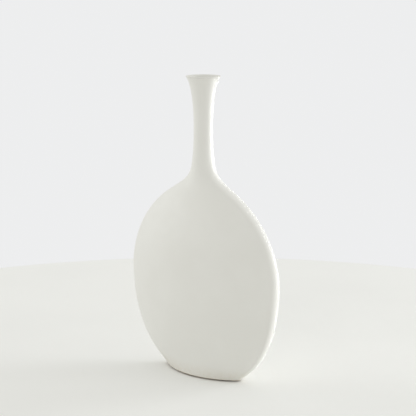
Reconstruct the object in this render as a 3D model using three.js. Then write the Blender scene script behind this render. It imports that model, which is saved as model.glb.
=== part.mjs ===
// Bud vase: a flat-sided ceramic flask with a lens-shaped section, a slim round neck and a flared lip.
// The hollow body is one slip-cast piece. Four felt pads, stuck in the recess under its foot, carry it.
// Units are millimetres and +Z is up. The origin is on the table, under the middle of the foot.
// X runs along the width of the body and Y through its depth.
import * as THREE from 'three';

// ---- driving dimensions -------------------------------------------------------------------------

const FOOT_GAP = 1.3;             // the pads hold the foot this far above the table
const VASE_HEIGHT = 290;          // ceramic alone, from the foot ring to the top of the lip

const FOOT_HALF_WIDTH = 47.6;
const FOOT_HALF_DEPTH = 19.5;
const BODY_HALF_WIDTH = 92;       // at the widest level
const BODY_WIDEST_LEVEL = 99;
const BODY_HALF_DEPTH = 28;       // at the deepest level
const BODY_DEEPEST_LEVEL = 115;
const SHOULDER_HALF_WIDTH = 42.2; // where the rounded body turns into the slope of the shoulder
const SHOULDER_LEVEL = 177.3;
const SHOULDER_SLOPE = 31.5;      // degrees from the horizontal
const NECK_RADIUS = 9.2;          // at the narrowest level
const NECK_LEVEL = 242.5;
const LIP_RADIUS = 16.9;
const LIP_FLARE = 37;             // degrees from the vertical, where the wall reaches the lip
const ROUND_LEVEL = 212;          // above this level the section is a plain circle

const FOOT_EDGE_RADIUS = 4;       // radius of the narrow edges at the foot
const BODY_EDGE_RADIUS = 6.8;     // and from the level below up to the deepest level
const BODY_EDGE_LEVEL = 70;
const SHOULDER_EDGE_RADIUS = 9.5; // and where the section becomes round
const MOST_EDGE_SHARE = 0.73;     // an edge radius never takes more than this share of the half depth
const INNER_EDGE_SHARE = 0.6;     // radius inside the hollow, as a share of the radius outside

const BODY_WALL = 4.5;
const NECK_WALL = 3;
const LIP_WALL = 2;
const FLOOR_THICKNESS = 7;        // from the foot ring up to the inner floor
const FLOOR_ROUNDING = 9;         // height over which the inner floor curves up into the wall

const RING_WIDTH = 3.5;           // unglazed foot ring
const RECESS_DEPTH = 1.5;

const PAD_RADIUS = 4.5;
const PAD_CLEARANCE = 0.3;        // adhesive film between a pad and the ceramic
const PAD_END_OFFSET = 33;        // the two pads near the ends of the foot
const PAD_SIDE_OFFSET = 10.8;     // the two pads near its flat sides

const POINTS_PER_QUARTER = 12;    // around a section
const EDGE_CROWDING = 1.6;        // above 1, points gather towards the narrow edges
const FOOT_CROWDING = 1.7;        // above 1, rings gather towards the foot
const PAD_SIDES = 24;

// ---- outlines of the body -----------------------------------------------------------------------

const radians = THREE.MathUtils.degToRad;

function point(x, z) {
  return new THREE.Vector2(x, z);
}

// One smooth piece of an outline: it leaves `start` along `leave` and reaches `end` along `arrive`.
function bend(start, leave, end, arrive) {
  const first = start.clone().add(leave);
  const second = end.clone().sub(arrive);
  return new THREE.CubicBezierCurve(start, first, second, end);
}

// Outline seen from the front: half width against height above the foot ring.
function widthOutline() {
  const foot = point(FOOT_HALF_WIDTH, 0);
  const widest = point(BODY_HALF_WIDTH, BODY_WIDEST_LEVEL);
  const shoulder = point(SHOULDER_HALF_WIDTH, SHOULDER_LEVEL);
  const neck = point(NECK_RADIUS, NECK_LEVEL);
  const lip = point(LIP_RADIUS, VASE_HEIGHT);
  const slope = point(-Math.cos(radians(SHOULDER_SLOPE)), Math.sin(radians(SHOULDER_SLOPE)));
  const flare = point(Math.sin(radians(LIP_FLARE)), Math.cos(radians(LIP_FLARE)));
  return [
    bend(foot, point(2, 6.7), widest, point(0, 79.5)),
    bend(widest, point(0, 6.8), shoulder, slope.clone().multiplyScalar(54.5)),
    bend(shoulder, slope.clone().multiplyScalar(33), neck, point(0, 51.6)),
    bend(neck, point(0, 17.8), lip, flare.multiplyScalar(9.4)),
  ];
}

// Outline seen from the side: half depth against height, up to where the neck is round.
function depthOutline(roundRadius) {
  const foot = point(FOOT_HALF_DEPTH, 0);
  const deepest = point(BODY_HALF_DEPTH, BODY_DEEPEST_LEVEL);
  const round = point(roundRadius, ROUND_LEVEL);
  return [
    bend(foot, point(5.1, 41), deepest, point(0, 32)),
    bend(deepest, point(0, 40), round, point(-0.8, 40)),
  ];
}

// Distance from the axis at a given height, by halving the curve's parameter range.
function distanceAt(outline, level) {
  const curve = outline.find((piece) => level <= piece.v3.y) ?? outline[outline.length - 1];
  let low = 0;
  let high = 1;
  for (let step = 0; step < 40; step += 1) {
    const middle = (low + high) / 2;
    if (curve.getPoint(middle).y < level) {
      low = middle;
    } else {
      high = middle;
    }
  }
  return curve.getPoint((low + high) / 2).x;
}

const WIDTH = widthOutline();
const DEPTH = depthOutline(distanceAt(WIDTH, ROUND_LEVEL));

function halfWidthAt(level) {
  return distanceAt(WIDTH, level);
}

function halfDepthAt(level) {
  return level < ROUND_LEVEL ? Math.min(distanceAt(DEPTH, level), halfWidthAt(level)) : halfWidthAt(level);
}

function edgeRadiusAt(level) {
  const share = Math.min(level / BODY_EDGE_LEVEL, 1);
  const rounded = THREE.MathUtils.smoothstep(level, BODY_DEEPEST_LEVEL, ROUND_LEVEL);
  const body = THREE.MathUtils.lerp(FOOT_EDGE_RADIUS, BODY_EDGE_RADIUS, share);
  return THREE.MathUtils.lerp(body, SHOULDER_EDGE_RADIUS, rounded);
}

// ---- sections -----------------------------------------------------------------------------------

// A section has two shallow arcs for its faces and two tight arcs for its narrow edges, all tangent.
// Where the half width equals the half depth the same construction gives a circle.
function section(halfWidth, halfDepth, wantedEdgeRadius, level) {
  const edgeRadius = Math.min(wantedEdgeRadius, MOST_EDGE_SHARE * halfDepth);
  const reach = halfWidth - edgeRadius;
  const faceRadius = (reach ** 2 + halfDepth ** 2 - edgeRadius ** 2) / (2 * (halfDepth - edgeRadius));
  const faceAngle = Math.atan2(reach, faceRadius - halfDepth);
  const faceLength = faceRadius * faceAngle;
  const edgeLength = edgeRadius * (Math.PI / 2 - faceAngle);
  const quarter = [];
  for (let step = 0; step <= POINTS_PER_QUARTER; step += 1) {
    const share = 1 - (1 - step / POINTS_PER_QUARTER) ** EDGE_CROWDING;
    const along = share * (faceLength + edgeLength);
    if (along <= faceLength) {
      const angle = along / faceRadius;
      const y = faceRadius * Math.cos(angle) - (faceRadius - halfDepth);
      quarter.push([faceRadius * Math.sin(angle), y]);
    } else {
      const angle = faceAngle + (along - faceLength) / edgeRadius;
      quarter.push([reach + edgeRadius * Math.sin(angle), edgeRadius * Math.cos(angle)]);
    }
  }
  const ring = [];
  for (let step = 0; step < POINTS_PER_QUARTER; step += 1) {
    ring.push([quarter[step][0], -quarter[step][1]]);
  }
  for (let step = POINTS_PER_QUARTER; step > 0; step -= 1) {
    ring.push([quarter[step][0], quarter[step][1]]);
  }
  const half = ring.map(([x, y]) => [-x, -y]);
  return [...ring, ...half].map(([x, y]) => new THREE.Vector3(x, y, level));
}

function outerSection(level) {
  return section(halfWidthAt(level), halfDepthAt(level), edgeRadiusAt(level), level + FOOT_GAP);
}

function wallAt(level) {
  const necked = THREE.MathUtils.smoothstep(level, BODY_DEEPEST_LEVEL, NECK_LEVEL);
  const lipped = THREE.MathUtils.smoothstep(level, NECK_LEVEL, VASE_HEIGHT);
  return BODY_WALL + (NECK_WALL - BODY_WALL) * necked + (LIP_WALL - NECK_WALL) * lipped;
}

// Horizontal thickness of a wall that leans, so that its true thickness stays the same.
function leaningWall(distance, level) {
  const step = 0.5;
  const above = Math.min(level + step, VASE_HEIGHT);
  const below = level - step;
  const lean = (distance(above) - distance(below)) / (above - below);
  return wallAt(level) * Math.hypot(1, lean);
}

function innerSection(level) {
  const rise = level - FLOOR_THICKNESS;
  const lift = rise < FLOOR_ROUNDING ? 1 - Math.sqrt(1 - (1 - rise / FLOOR_ROUNDING) ** 2) : 0;
  const rounding = lift * FLOOR_ROUNDING;
  const halfWidth = halfWidthAt(level) - leaningWall(halfWidthAt, level) - rounding;
  const round = level >= ROUND_LEVEL;
  const halfDepth = round ? halfWidth : halfDepthAt(level) - leaningWall(halfDepthAt, level) - rounding;
  return section(halfWidth, halfDepth, INNER_EDGE_SHARE * edgeRadiusAt(level), level + FOOT_GAP);
}

// ---- skins --------------------------------------------------------------------------------------

// Closed skin through a run of rings, each with the same number of points, capped at both ends by a fan.
function skin(rings, firstCentre, lastCentre) {
  const around = rings[0].length;
  const positions = [firstCentre, ...rings.flat(), lastCentre].flatMap((vertex) => vertex.toArray());
  const last = rings.length * around + 1;
  const triangles = [];
  for (let side = 0; side < around; side += 1) {
    const next = (side + 1) % around;
    triangles.push(0, 1 + next, 1 + side);
    for (let ring = 0; ring < rings.length - 1; ring += 1) {
      const here = 1 + ring * around;
      const beyond = here + around;
      triangles.push(here + side, here + next, beyond + next);
      triangles.push(here + side, beyond + next, beyond + side);
    }
    const top = 1 + (rings.length - 1) * around;
    triangles.push(last, top + side, top + next);
  }
  const geometry = new THREE.BufferGeometry();
  geometry.setAttribute('position', new THREE.Float32BufferAttribute(positions, 3));
  geometry.setIndex(triangles);
  geometry.computeVertexNormals();
  return geometry;
}

// Heights from `low` to `high`. A crowding above 1 gathers them near `low`.
function levels(low, high, count, crowding = 1) {
  return Array.from({ length: count }, (_, index) => low + (high - low) * (index / (count - 1)) ** crowding);
}

// ---- ceramic body -------------------------------------------------------------------------------

function recessSection(level) {
  const halfWidth = FOOT_HALF_WIDTH - RING_WIDTH;
  const halfDepth = FOOT_HALF_DEPTH - RING_WIDTH;
  return section(halfWidth, halfDepth, INNER_EDGE_SHARE * FOOT_EDGE_RADIUS, level);
}

function makeBodyGeometry() {
  const outside = [
    ...levels(0, BODY_WIDEST_LEVEL, 13, FOOT_CROWDING),
    ...levels(BODY_WIDEST_LEVEL, BODY_DEEPEST_LEVEL, 3).slice(1),
    ...levels(BODY_DEEPEST_LEVEL, ROUND_LEVEL, 12).slice(1),
    ...levels(ROUND_LEVEL, VASE_HEIGHT - LIP_WALL / 2, 9).slice(1),
  ].map(outerSection);
  const inside = [
    ...levels(VASE_HEIGHT - LIP_WALL / 2, ROUND_LEVEL, 9),
    ...levels(ROUND_LEVEL, BODY_DEEPEST_LEVEL, 12).slice(1),
    ...levels(BODY_DEEPEST_LEVEL, FLOOR_THICKNESS + FLOOR_ROUNDING, 9).slice(1),
    ...levels(FLOOR_THICKNESS, FLOOR_THICKNESS + FLOOR_ROUNDING, 4, 2).reverse().slice(1),
  ].map(innerSection);
  const lipMiddle = LIP_RADIUS - LIP_WALL / 2;
  const lipTop = section(lipMiddle, lipMiddle, BODY_EDGE_RADIUS, VASE_HEIGHT + FOOT_GAP);
  const ceiling = FOOT_GAP + RECESS_DEPTH;
  const rings = [recessSection(ceiling), recessSection(FOOT_GAP), ...outside, lipTop, ...inside];
  const underside = new THREE.Vector3(0, 0, ceiling);
  const floor = new THREE.Vector3(0, 0, FLOOR_THICKNESS + FOOT_GAP);
  return skin(rings, underside, floor);
}

// ---- felt pads ----------------------------------------------------------------------------------

const PAD_THICKNESS = FOOT_GAP + RECESS_DEPTH - PAD_CLEARANCE;

const PADS = [
  { name: 'felt_pad_right_end', x: PAD_END_OFFSET, y: 0 },
  { name: 'felt_pad_left_end', x: -PAD_END_OFFSET, y: 0 },
  { name: 'felt_pad_front', x: 0, y: -PAD_SIDE_OFFSET },
  { name: 'felt_pad_back', x: 0, y: PAD_SIDE_OFFSET },
];

function makePadGeometry() {
  const geometry = new THREE.CylinderGeometry(PAD_RADIUS, PAD_RADIUS, PAD_THICKNESS, PAD_SIDES);
  return geometry.rotateX(Math.PI / 2).translate(0, 0, PAD_THICKNESS / 2);
}

// ---- assembly -----------------------------------------------------------------------------------

const glazedCeramic = new THREE.MeshStandardMaterial({ color: 0xe9e8e2, roughness: 0.55, metalness: 0 });
const feltMaterial = new THREE.MeshStandardMaterial({ color: 0x4a4038, roughness: 1, metalness: 0 });

function makePart(name, geometry, material) {
  const mesh = new THREE.Mesh(geometry, material);
  mesh.name = name;
  return mesh;
}

const vase = new THREE.Group();
vase.add(makePart('vase_body', makeBodyGeometry(), glazedCeramic));

for (const pad of PADS) {
  const mesh = makePart(pad.name, makePadGeometry(), feltMaterial);
  mesh.position.set(pad.x, pad.y, 0);
  vase.add(mesh);
}

export default vase;
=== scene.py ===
import math

import bpy
import numpy as np
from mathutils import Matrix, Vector, noise


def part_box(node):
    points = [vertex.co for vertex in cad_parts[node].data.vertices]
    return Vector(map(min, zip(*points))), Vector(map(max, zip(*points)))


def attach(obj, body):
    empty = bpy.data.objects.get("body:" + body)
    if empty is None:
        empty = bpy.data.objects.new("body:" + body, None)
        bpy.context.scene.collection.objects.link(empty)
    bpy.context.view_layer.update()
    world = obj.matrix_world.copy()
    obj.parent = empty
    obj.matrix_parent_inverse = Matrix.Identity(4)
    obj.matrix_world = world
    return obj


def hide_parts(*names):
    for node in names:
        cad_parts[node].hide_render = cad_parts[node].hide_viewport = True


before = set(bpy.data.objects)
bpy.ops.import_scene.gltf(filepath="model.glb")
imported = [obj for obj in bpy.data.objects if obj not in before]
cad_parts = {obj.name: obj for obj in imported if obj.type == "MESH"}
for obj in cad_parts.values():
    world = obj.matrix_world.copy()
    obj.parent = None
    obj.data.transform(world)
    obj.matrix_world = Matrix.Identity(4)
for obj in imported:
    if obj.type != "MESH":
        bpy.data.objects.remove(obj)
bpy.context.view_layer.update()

# ---- sizes, in metres ---------------------------------------------------------------------------

MM = 0.001

vase_low, vase_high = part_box("vase_body")
FOOT_LEVEL = vase_low.z
HEIGHT = vase_high.z - vase_low.z
BODY_HALF_WIDTH = (vase_high.x - vase_low.x) / 2
BODY_HALF_DEPTH = (vase_high.y - vase_low.y) / 2

FOOT_HALF_WIDTH = 47.6 * MM
FOOT_HALF_DEPTH = 19.5 * MM
WIDEST_LEVEL = 99 * MM
DEEPEST_LEVEL = 115 * MM
SHOULDER_HALF_WIDTH = 42.2 * MM
SHOULDER_LEVEL = 177.3 * MM
SHOULDER_SLOPE = math.radians(31.5)
NECK_RADIUS = 9.2 * MM
NECK_LEVEL = 242.5 * MM
LIP_RADIUS = 16.9 * MM
LIP_FLARE = math.radians(37)
ROUND_LEVEL = 212 * MM

FOOT_EDGE_RADIUS = 4 * MM
BODY_EDGE_RADIUS = 6.8 * MM
BODY_EDGE_LEVEL = 70 * MM
SHOULDER_EDGE_RADIUS = 9.5 * MM
MOST_EDGE_SHARE = 0.73
INNER_EDGE_SHARE = 0.6

BODY_WALL = 4.5 * MM
NECK_WALL = 3 * MM
LIP_WALL = 2 * MM
FLOOR_LEVEL = 7 * MM           # of the floor inside the body, above the foot ring
FLOOR_ROUNDING = 9 * MM
RING_WIDTH = 3.5 * MM
RECESS_DEPTH = 1.5 * MM

GLAZE_THICKNESS = 0.15 * MM
GLAZE_LINE = 0.55 * MM         # height of the glaze's lower edge above the foot ring
GLAZE_LINE_WAVE = 0.15 * MM
GLAZE_LINE_SOFTNESS = 0.12 * MM
FOOT_THIN_GLAZE_AND_SHADE = 16 * MM      # height up to which the glaze is thin at the foot and is darkened and warmed by painted shade and painted warm bounce from the floor
THIN_LIP_GLAZE = 2.2 * MM      # depth below the top of the lip to which it is thin there
FOOT_ROUNDING = 0.5 * MM       # of the outer wall, where it meets the foot ring
FOOT_FILLET = 0.5 * MM         # on both corners between the foot ring and the recess
HAND_WAVINESS = 0.14 * MM

PAD_EDGE_ROUNDING = 0.35 * MM
PAD_FUZZ = 0.09 * MM

QUARTER = 48                   # points on a quarter of a section
EDGE_CROWDING = 1.6            # how much closer together they lie towards its edge
OUTER_RINGS = 230              # sections of the outer wall
FINE_RINGS = 25                # sections close to the foot, where the glaze ends
FINE_HEIGHT = 3 * MM
NECK_RINGS = 60                # sections of the inside: neck, chamber and rounded floor
CHAMBER_RINGS = 70
FLOOR_RINGS = 14
PAD_AROUND = 96                # points around a felt pad

# ---- mesh helpers -------------------------------------------------------------------------------


def make_object(name, vertices, faces, materials, face_materials=None):
    mesh = bpy.data.meshes.new(name)
    mesh.from_pydata([tuple(v) for v in vertices], [], faces)
    for material in materials:
        mesh.materials.append(material)
    if face_materials is not None:
        mesh.polygons.foreach_set("material_index", face_materials)
    mesh.polygons.foreach_set("use_smooth", [True] * len(mesh.polygons))
    mesh.update()
    piece = bpy.data.objects.new(name, mesh)
    bpy.context.scene.collection.objects.link(piece)
    return piece


def skin(rings, first_centre, last_centre):
    """Vertices and outward faces of a closed skin through equal rings, with a fan at each end."""
    around = len(rings[0])
    vertices = np.vstack([[first_centre], *rings, [last_centre]])
    last = len(vertices) - 1
    faces = []
    for side in range(around):
        faces.append((0, 1 + (side + 1) % around, 1 + side))
    for ring in range(len(rings) - 1):
        here = 1 + ring * around
        beyond = here + around
        for side in range(around):
            step = (side + 1) % around
            faces.append((here + side, here + step, beyond + step, beyond + side))
    top = last - around
    for side in range(around):
        faces.append((last, top + side, top + (side + 1) % around))
    return vertices, faces


def draw_in(piece, depth):
    """Moves each point of a mesh in along its normal by depth(place)."""
    mesh = piece.data
    places = np.empty(len(mesh.vertices) * 3)
    normals = np.empty(len(mesh.vertices) * 3)
    mesh.vertices.foreach_get("co", places)
    mesh.vertices.foreach_get("normal", normals)
    places = places.reshape(-1, 3)
    depths = np.array([depth(Vector(place)) for place in places])
    places -= normals.reshape(-1, 3) * depths[:, None]
    mesh.vertices.foreach_set("co", places.ravel())
    mesh.update()


def smoothstep(value, low, high):
    share = np.clip((value - low) / (high - low), 0, 1)
    return share * share * (3 - 2 * share)


# ---- the vase's shape ---------------------------------------------------------------------------


def bend(start, leave, end, arrive, samples=400):
    """Points of one smooth stretch that leaves `start` along `leave` and reaches `end` along `arrive`."""
    start, leave, end, arrive = (np.array(v, float) for v in (start, leave, end, arrive))
    t = np.linspace(0, 1, samples)[:, None]
    first, second = start + leave, end - arrive
    return (1 - t) ** 3 * start + 3 * (1 - t) ** 2 * t * first + 3 * (1 - t) * t**2 * second + t**3 * end


def width_outline():
    """Front outline, from foot to lip. How far a stretch reaches at its ends sets how full it is."""
    foot = (FOOT_HALF_WIDTH, 0)
    widest = (BODY_HALF_WIDTH, WIDEST_LEVEL)
    shoulder = (SHOULDER_HALF_WIDTH, SHOULDER_LEVEL)
    neck = (NECK_RADIUS, NECK_LEVEL)
    lip = (LIP_RADIUS, HEIGHT)
    slope = np.array((-math.cos(SHOULDER_SLOPE), math.sin(SHOULDER_SLOPE)))
    flare = np.array((math.sin(LIP_FLARE), math.cos(LIP_FLARE)))
    return np.vstack([
        bend(foot, (2 * MM, 6.7 * MM), widest, (0, 79.5 * MM)),
        bend(widest, (0, 6.8 * MM), shoulder, slope * 54.5 * MM),
        bend(shoulder, slope * 33 * MM, neck, (0, 51.6 * MM)),
        bend(neck, (0, 17.8 * MM), lip, flare * 9.4 * MM),
    ])


WIDTH = width_outline()


def half_width(level):
    return np.interp(level, WIDTH[:, 1], WIDTH[:, 0])


def depth_outline():
    """Side outline, from the foot to where the sections turn round."""
    foot = (FOOT_HALF_DEPTH, 0)
    deepest = (BODY_HALF_DEPTH, DEEPEST_LEVEL)
    rounded = (half_width(ROUND_LEVEL), ROUND_LEVEL)
    return np.vstack([
        bend(foot, (5.1 * MM, 41 * MM), deepest, (0, 32 * MM)),
        bend(deepest, (0, 40 * MM), rounded, (-0.8 * MM, 40 * MM)),
    ])


DEPTH = depth_outline()


def half_depth(level):
    if level >= ROUND_LEVEL:
        return half_width(level)
    return min(np.interp(level, DEPTH[:, 1], DEPTH[:, 0]), half_width(level))


def edge_radius(level):
    body = FOOT_EDGE_RADIUS + (BODY_EDGE_RADIUS - FOOT_EDGE_RADIUS) * min(level / BODY_EDGE_LEVEL, 1)
    rounded = smoothstep(level, DEEPEST_LEVEL, ROUND_LEVEL)
    return body + (SHOULDER_EDGE_RADIUS - body) * rounded


def section(width, depth, edge, level):
    """Ring of two shallow face arcs and two tight edge arcs, all tangent; round if width is depth."""
    edge = min(edge, MOST_EDGE_SHARE * depth)
    reach = width - edge
    face_radius = (reach**2 + depth**2 - edge**2) / (2 * (depth - edge))
    face_angle = math.atan2(reach, face_radius - depth)
    face_length = face_radius * face_angle
    edge_length = edge * (math.pi / 2 - face_angle)
    share = 1 - (1 - np.arange(QUARTER + 1) / QUARTER) ** EDGE_CROWDING
    along = share * (face_length + edge_length)
    on_face = along <= face_length
    angle = np.where(on_face, along / face_radius, face_angle + (along - face_length) / edge)
    x = np.where(on_face, face_radius * np.sin(angle), reach + edge * np.sin(angle))
    y = np.where(on_face, face_radius * np.cos(angle) - (face_radius - depth), edge * np.cos(angle))
    front = np.stack([x[:-1], -y[:-1]], axis=1)
    back = np.stack([x[:0:-1], y[:0:-1]], axis=1)
    half = np.vstack([front, back])
    ring = np.vstack([half, -half])
    return np.column_stack([ring, np.full(len(ring), FOOT_LEVEL + level)])


def outer_section(level, inset=0.0):
    edge = edge_radius(level) - inset / 2
    return section(half_width(level) - inset, half_depth(level) - inset, edge, level)


def wall(level):
    necked = smoothstep(level, DEEPEST_LEVEL, NECK_LEVEL)
    lipped = smoothstep(level, NECK_LEVEL, HEIGHT)
    return BODY_WALL + (NECK_WALL - BODY_WALL) * necked + (LIP_WALL - NECK_WALL) * lipped


def leaning_wall(distance, level):
    """Horizontal thickness of a leaning wall whose true thickness is wall(level)."""
    step = 0.5 * MM
    above = min(level + step, HEIGHT)
    below = level - step
    lean = (distance(above) - distance(below)) / (above - below)
    return wall(level) * math.hypot(1, lean)


def inner_section(level):
    rise = level - FLOOR_LEVEL
    lift = 1 - math.sqrt(1 - (1 - rise / FLOOR_ROUNDING) ** 2) if rise < FLOOR_ROUNDING else 0
    rounding = lift * FLOOR_ROUNDING
    width = half_width(level) - leaning_wall(half_width, level) - rounding
    depth = width
    if level < ROUND_LEVEL:
        depth = half_depth(level) - leaning_wall(half_depth, level) - rounding
    return section(width, depth, INNER_EDGE_SHARE * edge_radius(level), level)


def lip_rings(steps=10):
    """Half-round top of the lip, from the outer wall over to the inner wall."""
    radius = LIP_WALL / 2
    middle = LIP_RADIUS - radius
    rings = []
    for step in range(1, steps):
        angle = math.pi * step / steps
        width = middle + radius * math.cos(angle)
        level = HEIGHT - radius + radius * math.sin(angle)
        rings.append(section(width, width, BODY_EDGE_RADIUS, level))
    return rings


def foot_rings():
    """Recess ceiling, its side and the flat foot ring, up to where the outer wall begins."""
    ring_inside = (FOOT_HALF_WIDTH - RING_WIDTH, FOOT_HALF_DEPTH - RING_WIDTH)
    edge = INNER_EDGE_SHARE * FOOT_EDGE_RADIUS
    rings = []
    for share in (0.25, 0.5, 0.75, 0.9):
        rings.append(section(ring_inside[0] * share, ring_inside[1] * share, edge * share, RECESS_DEPTH))
    for step in range(5):
        angle = math.pi / 2 * step / 4
        inset = FOOT_FILLET * (1 - math.sin(angle))
        level = RECESS_DEPTH - FOOT_FILLET * (1 - math.cos(angle))
        rings.append(section(ring_inside[0] - inset, ring_inside[1] - inset, edge - inset / 2, level))
    for step in range(5):
        angle = math.pi / 2 * step / 4
        outset = FOOT_FILLET * (1 - math.cos(angle))
        level = FOOT_FILLET * (1 - math.sin(angle))
        rings.append(section(ring_inside[0] + outset, ring_inside[1] + outset, edge, level))
    return rings


def outer_levels():
    """Levels at even steps along the front outline, with many more around the glaze's lower edge."""
    length = np.concatenate([[0], np.cumsum(np.hypot(*np.diff(WIDTH, axis=0).T))])
    even = np.interp(np.linspace(0, length[-1], OUTER_RINGS), length, WIDTH[:, 1])
    near_foot = np.linspace(0, FINE_HEIGHT, FINE_RINGS)
    lip_edge = HEIGHT - LIP_WALL / 2
    rest = even[(even > FINE_HEIGHT + 0.2 * MM) & (even < lip_edge - 0.3 * MM)]
    return np.concatenate([near_foot, rest, [lip_edge]])


def rounded_foot(level):
    """How far the outer wall is drawn in at its rounded lower edge."""
    if level >= FOOT_ROUNDING:
        return 0.0
    return FOOT_ROUNDING - math.sqrt(FOOT_ROUNDING**2 - (FOOT_ROUNDING - level) ** 2)


def glaze_line(points):
    """Height of the glaze's wavering lower edge at each point around the foot."""
    angle = np.arctan2(points[:, 1] / FOOT_HALF_DEPTH, points[:, 0] / FOOT_HALF_WIDTH)
    wave = 0.5 * np.sin(3 * angle + 0.7) + 0.3 * np.sin(7 * angle + 2.1) + 0.2 * np.sin(13 * angle)
    return FOOT_LEVEL + GLAZE_LINE + GLAZE_LINE_WAVE * wave


def make_vase(glaze, clay):
    """The whole vase as one skin, from the middle of the underside up, over the lip and down inside."""
    levels = outer_levels()
    outside = [outer_section(level, rounded_foot(level)) for level in levels]
    in_neck = np.linspace(HEIGHT - LIP_WALL / 2, ROUND_LEVEL, NECK_RINGS)
    in_chamber = np.linspace(ROUND_LEVEL, FLOOR_LEVEL + FLOOR_ROUNDING, CHAMBER_RINGS)[1:]
    at_floor = FLOOR_LEVEL + FLOOR_ROUNDING * np.linspace(1, 0, FLOOR_RINGS)[1:] ** 2
    inside = [inner_section(level) for level in (*in_neck, *in_chamber, *at_floor)]
    foot = foot_rings()
    rings = [*foot, *outside, *lip_rings(), *inside]
    underside = (0, 0, FOOT_LEVEL + RECESS_DEPTH)
    floor = (0, 0, FOOT_LEVEL + FLOOR_LEVEL)
    vertices, faces = skin(rings, underside, floor)

    around = len(rings[0])
    first_outside = 1 + len(foot) * around
    last_outside = first_outside + len(outside) * around
    outer = slice(first_outside, last_outside)
    line = glaze_line(vertices[outer])
    softness = GLAZE_LINE_SOFTNESS
    below = 1 - smoothstep(vertices[outer, 2], line - softness, line + softness)
    side = vertices[outer, :2] / np.linalg.norm(vertices[outer, :2], axis=1)[:, None]
    vertices[outer, :2] -= side * (below * GLAZE_THICKNESS)[:, None]

    centres = np.array([vertices[list(face)].mean(axis=0) for face in faces])
    bare = centres[:, 2] < glaze_line(centres)
    vase = make_object("ceramic_vase", vertices, faces, [glaze, clay], bare.astype(int))
    draw_in(vase, hand_made)
    return vase


def hand_made(place):
    """How far in a point of the wall is drawn, in slow waves, as on a cast and fettled piece."""
    slow = noise.noise(place * 22)
    quick = noise.noise(place * 70 + Vector((3, 1, 7)))
    return HAND_WAVINESS * min(max(0.5 + 0.6 * slow + 0.12 * quick, 0.02), 1)


# ---- felt pads ----------------------------------------------------------------------------------


def fuzz(place):
    """How far in a point of a pad is drawn, for its uneven fibres."""
    return PAD_FUZZ * (0.5 + 0.5 * noise.noise(place * 2600))


def make_pad(node, felt):
    """Die-cut felt disc in its CAD solid's place, with soft edges and a fibrous, slightly uneven face."""
    low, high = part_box(node)
    centre = (low + high) / 2
    radius = (high.x - low.x) / 2
    thickness = high.z - low.z
    soft = PAD_EDGE_ROUNDING
    angles = np.arange(PAD_AROUND) * 2 * math.pi / PAD_AROUND
    profile = [(radius * share, 0) for share in (0.2, 0.4, 0.6, 0.8)]
    for step in range(5):
        turn = math.pi / 2 * step / 4
        profile.append((radius - soft + soft * math.sin(turn), soft - soft * math.cos(turn)))
    profile += [(radius, soft + (thickness - 2 * soft) * share) for share in (0.25, 0.5, 0.75)]
    for step in range(5):
        turn = math.pi / 2 * step / 4
        profile.append((radius - soft + soft * math.cos(turn), thickness - soft + soft * math.sin(turn)))
    profile += [(radius * share, thickness) for share in (0.8, 0.6, 0.4, 0.2)]
    rings = []
    for ring_radius, level in profile:
        x = centre.x + ring_radius * np.cos(angles)
        y = centre.y + ring_radius * np.sin(angles)
        rings.append(np.column_stack([x, y, np.full(PAD_AROUND, low.z + level)]))
    vertices, faces = skin(rings, (centre.x, centre.y, low.z), (centre.x, centre.y, high.z))
    pad = make_object(node.replace("felt_pad", "felt_dot"), vertices, faces, [felt])
    draw_in(pad, fuzz)
    return pad


# ---- materials ----------------------------------------------------------------------------------


class Nodes:
    """Builds one node material: each call adds a node, sets its values and links its inputs."""

    def __init__(self, name):
        self.material = bpy.data.materials.new(name)
        self.material.use_nodes = True
        self.tree = self.material.node_tree
        self.shader = self.tree.nodes["Principled BSDF"]
        self.place = self.add("ShaderNodeTexCoord").outputs["Object"]

    def add(self, kind, settings=None, **inputs):
        node = self.tree.nodes.new(kind)
        for key, value in (settings or {}).items():
            setattr(node, key, value)
        for key, value in inputs.items():
            self.feed(node.inputs[key.replace("_", " ")], value)
        return node

    def feed(self, socket, value):
        if isinstance(value, bpy.types.NodeSocket):
            self.tree.links.new(value, socket)
        else:
            socket.default_value = value

    def noise(self, scale, detail=3.0, roughness=0.5):
        node = self.add("ShaderNodeTexNoise", Scale=scale, Detail=detail, Roughness=roughness)
        self.feed(node.inputs["Vector"], self.place)
        return node.outputs["Fac"]

    def span(self, value, low, high, to_low=0.0, to_high=1.0):
        node = self.add("ShaderNodeMapRange", Value=value)
        node.interpolation_type = "SMOOTHSTEP"
        self.feed(node.inputs["From Min"], low)
        self.feed(node.inputs["From Max"], high)
        self.feed(node.inputs["To Min"], to_low)
        self.feed(node.inputs["To Max"], to_high)
        return node.outputs["Result"]

    def math(self, operation, first, second):
        node = self.add("ShaderNodeMath", {"operation": operation})
        self.feed(node.inputs[0], first)
        self.feed(node.inputs[1], second)
        return node.outputs["Value"]

    def mix(self, share, first, second):
        node = self.add("ShaderNodeMix", {"data_type": "RGBA"})
        self.feed(node.inputs["Factor"], share)
        self.feed(node.inputs["A"], first)
        self.feed(node.inputs["B"], second)
        return node.outputs["Result"]

    def bump(self, height, distance, strength=1.0, under=None):
        node = self.add("ShaderNodeBump", Height=height, Distance=distance, Strength=strength)
        if under is not None:
            self.feed(node.inputs["Normal"], under)
        return node.outputs["Normal"]

    def height(self):
        return self.add("ShaderNodeSeparateXYZ", Vector=self.place).outputs["Z"]


def colour(red, green, blue):
    return (red, green, blue, 1)


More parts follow.
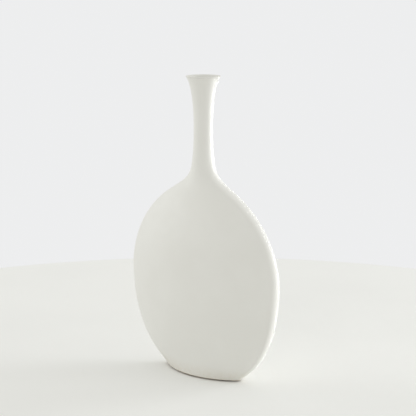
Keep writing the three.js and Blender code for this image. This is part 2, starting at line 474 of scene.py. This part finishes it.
GLAZE_GREYER = colour(0.778, 0.772, 0.734)
GLAZE_WHITER = colour(0.792, 0.787, 0.750)
# colour of glaze over clay, also used as the painted shade and painted warm floor bounce towards the foot
GLAZE_OVER_CLAY_AND_FOOT_SHADE = colour(0.66, 0.60, 0.49)
GLAZE_SPECK = colour(0.45, 0.40, 0.33)
CLAY_SHOWING_AND_FOOT_SHADE = 0.38            # how far the glaze turns to its colour over clay where it is thinnest, and how strong the painted shade and warm bounce at the foot are
CLAY_RUBBED = colour(0.56, 0.48, 0.37)
CLAY_BUFF = colour(0.64, 0.56, 0.45)
CLAY_GRAIN = colour(0.42, 0.34, 0.25)
FELT_DARK = colour(0.060, 0.045, 0.034)
FELT_BROWN = colour(0.135, 0.104, 0.080)
FELT_HAIR = colour(0.28, 0.24, 0.20)
FIBRES = 900.0                 # fibres end to end in a metre of felt
FIBRE_STRETCH = 5              # how much longer than wide they are
STAGE_GREYER = colour(0.83, 0.83, 0.81)
STAGE_WHITER = colour(0.86, 0.86, 0.84)
ROOM_LIGHT = colour(0.815, 0.815, 0.79)
ROOM_SEEN = colour(0.85, 0.855, 0.86)


def glaze_material():
    """Satin-matte off-white glaze: clouds, orange peel and pinholes, thin and warm at the lip, and darker
    and warmer towards the foot as thinner glaze with painted shade and painted warm floor bounce.
    """
    nodes = Nodes("satin_white_glaze")
    clouds = nodes.span(nodes.noise(24, 4), 0.35, 0.65)
    tone = nodes.mix(clouds, GLAZE_GREYER, GLAZE_WHITER)
    lip_top = FOOT_LEVEL + HEIGHT
    thin_lip = nodes.span(nodes.height(), lip_top - THIN_LIP_GLAZE, lip_top, 0, 0.15)
    # Darker, warmer glaze over the lowest 16 mm: thinner glaze together with painted shade and painted
    # warm bounce from the floor.
    foot_thin_glaze_and_shade = nodes.span(nodes.height(), FOOT_LEVEL + FOOT_THIN_GLAZE_AND_SHADE, FOOT_LEVEL + GLAZE_LINE)
    patchy = nodes.span(nodes.noise(320, 3), 0.35, 0.7, 0.45, 1)
    thin_glaze_and_foot_shade = nodes.math("MULTIPLY", nodes.math("MAXIMUM", thin_lip, foot_thin_glaze_and_shade), patchy)
    warmed = nodes.mix(nodes.math("MULTIPLY", thin_glaze_and_foot_shade, CLAY_SHOWING_AND_FOOT_SHADE), tone, GLAZE_OVER_CLAY_AND_FOOT_SHADE)
    specks = nodes.span(nodes.noise(1500, 1), 0.80, 0.86, 0, 0.35)
    speckled = nodes.mix(specks, warmed, GLAZE_SPECK)
    nodes.feed(nodes.shader.inputs["Base Color"], speckled)
    nodes.feed(nodes.shader.inputs["Roughness"], nodes.span(nodes.noise(90, 4), 0.3, 0.7, 0.46, 0.58))
    nodes.shader.inputs["Specular IOR Level"].default_value = 0.45
    peel = nodes.bump(nodes.noise(420, 3, 0.55), 0.05 * MM, 0.5)
    pinholes = nodes.span(nodes.noise(900, 0), 0.16, 0.10)
    nodes.feed(nodes.shader.inputs["Normal"], nodes.bump(pinholes, -0.1 * MM, 0.6, peel))
    return nodes.material


def clay_material():
    """Bare fired clay of the foot ring: buff, dry and grainy, with darker rubbed patches."""
    nodes = Nodes("bare_clay")
    grain = nodes.noise(2200, 4, 0.65)
    patches = nodes.span(nodes.noise(140, 3), 0.35, 0.65)
    body = nodes.mix(patches, CLAY_RUBBED, CLAY_BUFF)
    grained = nodes.mix(nodes.span(grain, 0.35, 0.7, 0, 0.3), body, CLAY_GRAIN)
    nodes.feed(nodes.shader.inputs["Base Color"], grained)
    nodes.feed(nodes.shader.inputs["Roughness"], nodes.span(grain, 0.3, 0.7, 0.82, 0.96))
    nodes.shader.inputs["Specular IOR Level"].default_value = 0.25
    nodes.feed(nodes.shader.inputs["Normal"], nodes.bump(grain, 0.12 * MM, 0.7))
    return nodes.material


def felt_material():
    """Dark brown pressed wool: matted fibres in two directions, with pale stray hairs and sheen."""
    nodes = Nodes("brown_felt")
    warp = nodes.add("ShaderNodeMapping", Vector=nodes.place)
    warp.inputs["Scale"].default_value = (1, FIBRE_STRETCH, FIBRE_STRETCH)
    weft = nodes.add("ShaderNodeMapping", Vector=nodes.place)
    weft.inputs["Scale"].default_value = (FIBRE_STRETCH, 1, FIBRE_STRETCH)
    first = nodes.add("ShaderNodeTexNoise", Vector=warp.outputs["Vector"], Scale=FIBRES, Detail=3.0)
    second = nodes.add("ShaderNodeTexNoise", Vector=weft.outputs["Vector"], Scale=FIBRES, Detail=3.0)
    fibres = nodes.math("MAXIMUM", first.outputs["Fac"], second.outputs["Fac"])
    wool = nodes.mix(nodes.span(fibres, 0.4, 0.75), FELT_DARK, FELT_BROWN)
    hairs = nodes.span(fibres, 0.72, 0.80, 0, 0.5)
    nodes.feed(nodes.shader.inputs["Base Color"], nodes.mix(hairs, wool, FELT_HAIR))
    nodes.feed(nodes.shader.inputs["Roughness"], nodes.span(fibres, 0.4, 0.7, 0.98, 0.86))
    nodes.shader.inputs["Sheen Weight"].default_value = 0.35
    nodes.shader.inputs["Sheen Roughness"].default_value = 0.5
    nodes.feed(nodes.shader.inputs["Normal"], nodes.bump(fibres, 0.18 * MM, 0.9))
    return nodes.material


def floor_material():
    """Plain pale floor, with hardly visible clouds."""
    nodes = Nodes("pale_floor")
    clouds = nodes.span(nodes.noise(3, 3), 0.3, 0.7)
    tone = nodes.mix(clouds, STAGE_GREYER, STAGE_WHITER)
    nodes.feed(nodes.shader.inputs["Base Color"], tone)
    nodes.shader.inputs["Roughness"].default_value = 0.8
    nodes.shader.inputs["Specular IOR Level"].default_value = 0.1
    return nodes.material


# ---- stage, light and camera --------------------------------------------------------------------

VIEW_AZIMUTH = math.radians(41)
VIEW_PITCH = math.radians(10.71)
VIEW_DISTANCE = 1.206
VIEW_HEIGHT = 0.391
VIEW_SIDESTEP = 0.0045
LENS = 110.4
SENSOR = 36

STAGE_RADIUS = 0.61
STAGE_THICKNESS = 0.02
STAGE_BEVEL = 0.001
STAGE_AROUND = 180             # points around the stage floor
STAGE_TOWARD = 0.105           # how far the stage floor's centre is from the vase, towards the camera

WINDOW_DISTANCE = 1.9
CARD_DISTANCE = 0.7
WINDOW_RIGHT_TINT = (0.94, 0.965, 1.0)
DAYLIGHT_TINT = (0.96, 0.98, 1.0)


def toward(azimuth, elevation=0.0):
    flat = math.cos(elevation)
    return Vector((math.sin(azimuth) * flat, -math.cos(azimuth) * flat, math.sin(elevation)))


def aim(thing, target):
    thing.rotation_mode = "QUATERNION"
    thing.rotation_quaternion = (target - thing.location).to_track_quat("-Z", "Y")


def make_camera():
    data = bpy.data.cameras.new("view")
    data.lens = LENS
    data.sensor_width = SENSOR
    camera = bpy.data.objects.new("view", data)
    bpy.context.scene.collection.objects.link(camera)
    right = toward(VIEW_AZIMUTH + math.pi / 2)
    camera.location = toward(VIEW_AZIMUTH) * VIEW_DISTANCE + right * VIEW_SIDESTEP
    camera.location.z = FOOT_LEVEL + VIEW_HEIGHT
    aim(camera, camera.location - toward(VIEW_AZIMUTH, VIEW_PITCH))
    bpy.context.scene.camera = camera


def make_floor(material):
    """Round floor under the vase, its far edge as near as a table's."""
    centre = toward(VIEW_AZIMUTH) * STAGE_TOWARD
    angles = np.arange(STAGE_AROUND) * 2 * math.pi / STAGE_AROUND
    bevelled = STAGE_RADIUS - STAGE_BEVEL
    profile = [(STAGE_RADIUS, -STAGE_THICKNESS), (STAGE_RADIUS, -STAGE_BEVEL), (bevelled, 0)]
    rings = []
    for radius, level in profile:
        x = centre.x + radius * np.cos(angles)
        y = centre.y + radius * np.sin(angles)
        rings.append(np.column_stack([x, y, np.full(len(angles), level)]))
    bottom = (centre.x, centre.y, -STAGE_THICKNESS)
    vertices, faces = skin(rings, bottom, (centre.x, centre.y, 0))
    floor = make_object("pale_floor", vertices, faces, [material])
    for polygon in floor.data.polygons:
        polygon.use_smooth = False


def make_light(name, azimuth, elevation, distance, size, power, tint, aimed_at=0.12, spread=180):
    """Soft round light, angles in degrees, pointed at the vase's axis at the height `aimed_at`."""
    data = bpy.data.lights.new(name, "AREA")
    data.shape = "DISK"
    data.size = size
    data.energy = power
    data.color = tint
    data.spread = math.radians(spread)
    light = bpy.data.objects.new(name, data)
    bpy.context.scene.collection.objects.link(light)
    light.location = toward(math.radians(azimuth), math.radians(elevation)) * distance
    light.visible_camera = False
    aim(light, Vector((0, 0, aimed_at)))


def make_world():
    """Even room light, and a slightly cooler wall where the camera sees past the floor."""
    world = bpy.data.worlds.new("soft_room")
    bpy.context.scene.world = world
    world.use_nodes = True
    tree = world.node_tree
    room = tree.nodes["Background"]
    room.inputs["Color"].default_value = ROOM_LIGHT
    seen = tree.nodes.new("ShaderNodeBackground")
    seen.inputs["Color"].default_value = ROOM_SEEN
    path = tree.nodes.new("ShaderNodeLightPath")
    mix = tree.nodes.new("ShaderNodeMixShader")
    tree.links.new(path.outputs["Is Camera Ray"], mix.inputs["Fac"])
    tree.links.new(room.outputs["Background"], mix.inputs[1])
    tree.links.new(seen.outputs["Background"], mix.inputs[2])
    tree.links.new(mix.outputs["Shader"], tree.nodes["World Output"].inputs["Surface"])


def make_studio():
    """Two soft windows, and two weak cards for the right edge: one at its foot and one at the neck."""
    make_world()
    make_light("window_right", 148, 13, WINDOW_DISTANCE, 1.0, 15, WINDOW_RIGHT_TINT)
    make_light("window_left", -70, 20, WINDOW_DISTANCE, 1.2, 6, DAYLIGHT_TINT)
    make_light("card_right", 124, 1.5, CARD_DISTANCE, 0.25, 0.1, DAYLIGHT_TINT, aimed_at=0, spread=23)
    make_light("card_neck", 160, 6, CARD_DISTANCE, 0.12, 0.038, DAYLIGHT_TINT, aimed_at=0.225, spread=20)
    make_floor(floor_material())
    bpy.context.scene.view_settings.view_transform = "Standard"


# ---- assembly -----------------------------------------------------------------------------------

PAD_NODES = ("felt_pad_right_end", "felt_pad_left_end", "felt_pad_front", "felt_pad_back")

make_camera()
make_studio()

vase = make_vase(glaze_material(), clay_material())
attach(vase, "root")
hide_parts("vase_body")

felt = felt_material()
for node in PAD_NODES:
    pad = make_pad(node, felt)
    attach(pad, "root")
    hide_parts(node)
